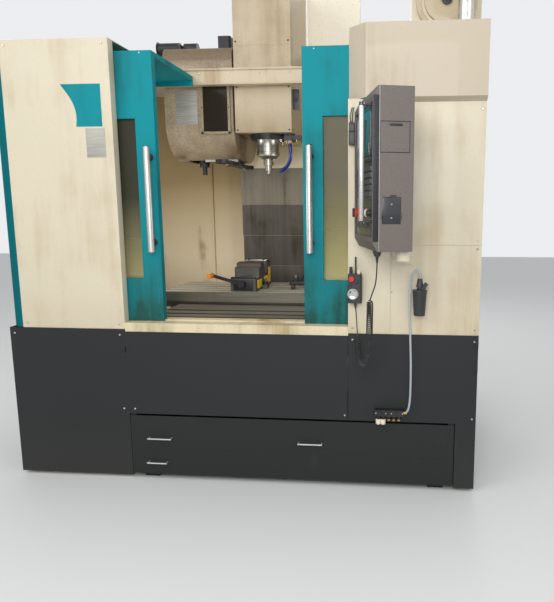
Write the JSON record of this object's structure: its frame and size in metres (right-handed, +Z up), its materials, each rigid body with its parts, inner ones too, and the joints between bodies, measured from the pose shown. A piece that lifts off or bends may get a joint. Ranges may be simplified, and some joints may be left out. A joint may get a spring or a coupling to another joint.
{
  "type": "cnc machining center",
  "caption": "Vertical machining center with sliding doors, cross table, sliding head, tool magazine with swing arm, hinged operator panel and pull-out tanks.",
  "frame": {"origin": "centre of the footprint on the floor", "axes": "+X to the right seen from the operator, +Y from the operator to the rear, +Z up"},
  "size_m": [2.45, 2.9972, 2.85],
  "materials": {
    "cream": "satin paint, cream",
    "cream_inner": "stained cream paint",
    "teal": "satin paint, teal",
    "dark_skirt": "satin paint, blue black",
    "cast_grey": "painted casting",
    "way_steel": "ground steel",
    "bright_steel": "polished steel",
    "window": "stained clear sheet",
    "magazine_paint": "stained cream paint",
    "black_steel": "black finish",
    "vise_steel": "ground casting",
    "panel_grey": "textured grey",
    "screen_black": "black glass and keys",
    "black_plastic": "black plastic",
    "red_plastic": "red button",
    "cord_black": "black cord"
  },
  "bodies": {
    "frame": {"bed": "cast_grey", "leveling_feet": "cast_grey", "column": "cream_inner", "guide_rails": "way_steel", "feed_drives": "cast_grey", "front_skirt": "dark_skirt", "right_skirt": "dark_skirt", "sill": "cream_inner", "left_housing": "cream", "corner_trim": "teal", "right_housing": "cream", "right_hood": "cream", "header_beam": "cream", "rear_wall": "cream_inner", "mist_collector": "cream", "duct_pipe": "bright_steel", "electrical_cabinet": "cream", "manifold": "black_steel", "wash_gun": "black_plastic", "magazine_cover": "magazine_paint", "magazine_window": "window", "magazine_frame": "cast_grey", "handset": "black_plastic", "handset_cord": "cord_black", "handset_coil": "cord_black"},
    "saddle": {"saddle": "cast_grey"},
    "table": {"table": "way_steel", "vise_base": "vise_steel"},
    "vise_jaw": {"vise_jaw": "vise_steel"},
    "vise_crank": {"vise_crank": "vise_steel"},
    "front_cover_b": {"front_cover_b": "way_steel"},
    "front_cover_c": {"front_cover_c": "way_steel"},
    "head": {"head": "cream_inner", "head_cover": "cream", "coolant_hose": "black_plastic", "z_cover_1": "way_steel"},
    "z_cover_2": {"z_cover_2": "way_steel"},
    "z_cover_3": {"z_cover_3": "way_steel"},
    "spindle": {"spindle": "bright_steel", "cutter": "bright_steel"},
    "carousel": {"tool_carousel": "black_steel"},
    "atc_lift": {"atc_shaft": "cast_grey"},
    "atc_arm": {"atc_arm": "black_steel"},
    "left_door": {"left_door": "teal", "left_window": "window", "left_handle": "bright_steel"},
    "right_door": {"right_door": "teal", "right_window": "window", "right_handle": "bright_steel"},
    "panel": {"panel_shell": "panel_grey", "panel_screen": "screen_black"},
    "panel_estop": {"panel_estop": "red_plastic"},
    "panel_knob": {"panel_knob": "black_plastic"},
    "panel_hatch": {"panel_hatch": "panel_grey"},
    "chip_drawer": {"chip_drawer": "dark_skirt"},
    "coolant_tank": {"coolant_tank": "dark_skirt"},
    "handset_wheel": {"handset_wheel": "bright_steel"},
    "handset_estop": {"handset_estop": "red_plastic"},
    "cabinet_door": {"cabinet_door": "cream"},
    "main_switch": {"main_switch": "black_steel"}
  },
  "joints": [
    {"name": "saddle_y", "type": "slide", "parent": "frame", "child": "saddle", "axis": [0, 1, 0], "range_m": [-0.25, 0.25]},
    {"name": "table_x", "type": "slide", "parent": "saddle", "child": "table", "axis": [1, 0, 0], "range_m": [-0.325, 0.525]},
    {"name": "front_cover_b_y", "type": "slide", "parent": "frame", "child": "front_cover_b", "axis": [0, 1, 0], "range_m": [-0.167, 0.167]},
    {"name": "front_cover_c_y", "type": "slide", "parent": "frame", "child": "front_cover_c", "axis": [0, 1, 0], "range_m": [-0.084, 0.084]},
    {"name": "vise_jaw_y", "type": "slide", "parent": "table", "child": "vise_jaw", "axis": [0, 1, 0], "range_m": [-0.04, 0.07]},
    {"name": "vise_crank_turn", "type": "hinge", "parent": "table", "child": "vise_crank", "pos_m": [-0.122, -0.32742, 0.99], "axis": [0, 1, 0], "range_deg": [-44, 190]},
    {"name": "head_z", "type": "slide", "parent": "frame", "child": "head", "axis": [0, 0, 1], "range_m": [-0.6, 0]},
    {"name": "z_cover_2_z", "type": "slide", "parent": "frame", "child": "z_cover_2", "axis": [0, 0, 1], "range_m": [-0.4, 0]},
    {"name": "z_cover_3_z", "type": "slide", "parent": "frame", "child": "z_cover_3", "axis": [0, 0, 1], "range_m": [-0.2, 0]},
    {"name": "spindle_turn", "type": "hinge", "parent": "head", "child": "spindle", "pos_m": [0, -0.19742, 1.8], "axis": [0, 0, 1], "continuous": true},
    {"name": "carousel_turn", "type": "hinge", "parent": "frame", "child": "carousel", "pos_m": [-0.3, -0.02542, 2.09], "axis": [1, 0, 0], "continuous": true},
    {"name": "atc_stroke", "type": "slide", "parent": "frame", "child": "atc_lift", "axis": [0, 0, 1], "range_m": [-0.11, 0]},
    {"name": "atc_swing", "type": "hinge", "parent": "atc_lift", "child": "atc_arm", "pos_m": [-0.235, -0.11142, 1.76], "axis": [0, 0, 1], "range_deg": [0, 69.9]},
    {"name": "left_door_x", "type": "slide", "parent": "frame", "child": "left_door", "axis": [1, 0, 0], "range_m": [-0.13, 0.3995]},
    {"name": "right_door_x", "type": "slide", "parent": "frame", "child": "right_door", "axis": [-1, 0, 0], "range_m": [-0.13, 0.3475]},
    {"name": "panel_swing", "type": "hinge", "parent": "frame", "child": "panel", "pos_m": [0.84644, -1.38725, 1.3], "axis": [0, 0, 1], "range_deg": [0, 75.5]},
    {"name": "panel_estop_press", "type": "slide", "parent": "panel", "child": "panel_estop", "axis": [0.9681, 0.2504, 0], "range_m": [0, 0.005]},
    {"name": "panel_knob_turn", "type": "hinge", "parent": "panel", "child": "panel_knob", "pos_m": [0.63237, -1.15857, 1.425], "axis": [-0.9681, -0.2504, 0], "range_deg": [-135, 135]},
    {"name": "panel_hatch_swing", "type": "hinge", "parent": "panel", "child": "panel_hatch", "pos_m": [0.86493, -1.45994, 1.726], "axis": [0, 0, 1], "range_deg": [0, 100]},
    {"name": "chip_drawer_out", "type": "slide", "parent": "frame", "child": "chip_drawer", "axis": [0, -1, 0], "range_m": [0, 0.45]},
    {"name": "coolant_tank_out", "type": "slide", "parent": "frame", "child": "coolant_tank", "axis": [0, -1, 0], "range_m": [0, 0.45]},
    {"name": "handset_wheel_turn", "type": "hinge", "parent": "frame", "child": "handset_wheel", "pos_m": [0.606, -1.07742, 1.03], "axis": [0, -1, 0], "continuous": true},
    {"name": "handset_estop_press", "type": "slide", "parent": "frame", "child": "handset_estop", "axis": [0, 1, 0], "range_m": [0, 0.004]},
    {"name": "cabinet_door_swing", "type": "hinge", "parent": "frame", "child": "cabinet_door", "pos_m": [0.62, 1.47258, 1.37], "axis": [0, 0, -1], "range_deg": [0, 110]},
    {"name": "main_switch_turn", "type": "hinge", "parent": "cabinet_door", "child": "main_switch", "pos_m": [-0.42, 1.48258, 1.5], "axis": [0, 1, 0], "range_deg": [0, 90]}
  ],
  "couplings": [
    {"joint": "front_cover_b_y", "follows": "saddle_y", "ratio": 0.66667},
    {"joint": "front_cover_c_y", "follows": "saddle_y", "ratio": 0.33333},
    {"joint": "z_cover_2_z", "follows": "head_z", "ratio": 0.66667},
    {"joint": "z_cover_3_z", "follows": "head_z", "ratio": 0.33333}
  ]
}
